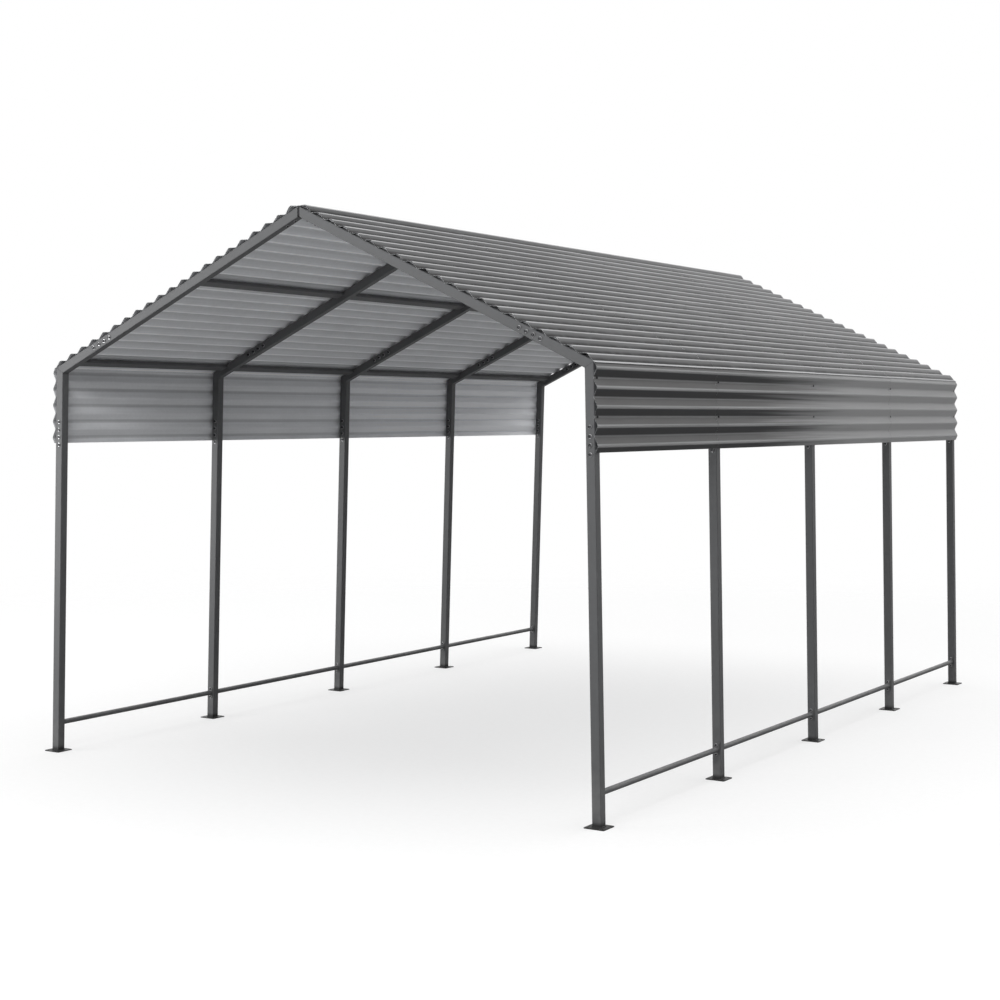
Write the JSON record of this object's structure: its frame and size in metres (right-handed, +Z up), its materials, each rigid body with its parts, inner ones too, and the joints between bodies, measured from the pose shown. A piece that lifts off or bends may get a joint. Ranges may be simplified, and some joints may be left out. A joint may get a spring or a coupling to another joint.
{
  "type": "steel carport",
  "caption": "Free-standing open carport: square-tube portal frames with splayed posts and base plates, purlins, ground rails, a corrugated gable roof and side skirts.",
  "frame": {"origin": "floor level, at the middle of the plan", "axes": "+X across the carport to the right seen from the front, +Y along the ridge to the rear, +Z up"},
  "size_m": [3.145, 4.715, 2.5986],
  "materials": {
    "frame_paint": "charcoal grey powder coat, satin",
    "sheet_paint": "charcoal grey coil coating on corrugated steel, satin",
    "bolt_steel": "black zinc-plated steel"
  },
  "bodies": {
    "root": {"post_left_1": "frame_paint", "post_left_2": "frame_paint", "post_left_3": "frame_paint", "post_left_4": "frame_paint", "post_left_5": "frame_paint", "post_right_1": "frame_paint", "post_right_2": "frame_paint", "post_right_3": "frame_paint", "post_right_4": "frame_paint", "post_right_5": "frame_paint", "knee_left_1": "frame_paint", "knee_left_2": "frame_paint", "knee_left_3": "frame_paint", "knee_left_4": "frame_paint", "knee_left_5": "frame_paint", "knee_right_1": "frame_paint", "knee_right_2": "frame_paint", "knee_right_3": "frame_paint", "knee_right_4": "frame_paint", "knee_right_5": "frame_paint", "rafter_left_1": "frame_paint", "rafter_left_2": "frame_paint", "rafter_left_3": "frame_paint", "rafter_left_4": "frame_paint", "rafter_left_5": "frame_paint", "rafter_right_1": "frame_paint", "rafter_right_2": "frame_paint", "rafter_right_3": "frame_paint", "rafter_right_4": "frame_paint", "rafter_right_5": "frame_paint", "mid_purlin_left": "frame_paint", "mid_purlin_right": "frame_paint", "eave_purlin_left": "frame_paint", "eave_purlin_right": "frame_paint", "ground_rail_left": "frame_paint", "ground_rail_right": "frame_paint", "roof_upper_left": "sheet_paint", "roof_upper_right": "sheet_paint", "roof_lower_left": "sheet_paint", "roof_lower_right": "sheet_paint", "skirt_left": "sheet_paint", "skirt_right": "sheet_paint", "base_plates": "frame_paint", "splice_sleeves": "bolt_steel", "ridge_sleeves": "bolt_steel", "ridge_cap": "sheet_paint"}
  },
  "joints": []
}
